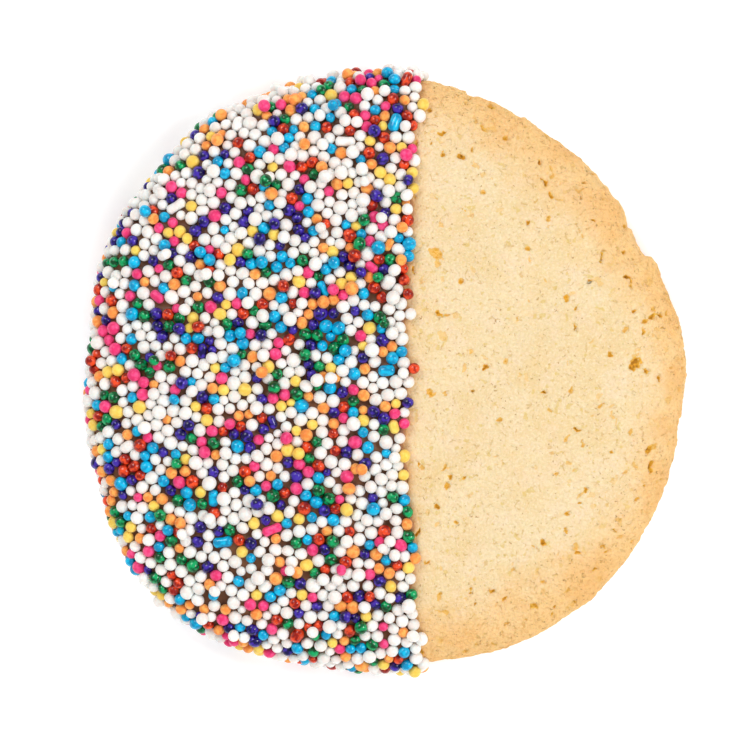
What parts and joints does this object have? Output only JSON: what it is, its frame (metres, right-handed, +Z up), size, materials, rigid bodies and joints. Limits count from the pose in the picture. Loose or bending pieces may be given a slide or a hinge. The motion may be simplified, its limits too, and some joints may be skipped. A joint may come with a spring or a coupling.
{
  "type": "butter cookie",
  "caption": "Round butter cookie, one half dipped in milk chocolate and covered in rainbow nonpareils, the other half bare and pale.",
  "frame": {"origin": "on the resting surface, under the middle of the outline", "axes": "+Z up out of the baked top, +X towards the bare half, -X towards the dipped half"},
  "size_m": [0.0797, 0.0806, 0.0133],
  "materials": {
    "baked_crumb": "matt baked crumb",
    "milk_chocolate": "satin set chocolate with sugar nonpareils"
  },
  "bodies": {
    "root": {"biscuit": "baked_crumb", "dipped_coating": "milk_chocolate"}
  },
  "joints": []
}
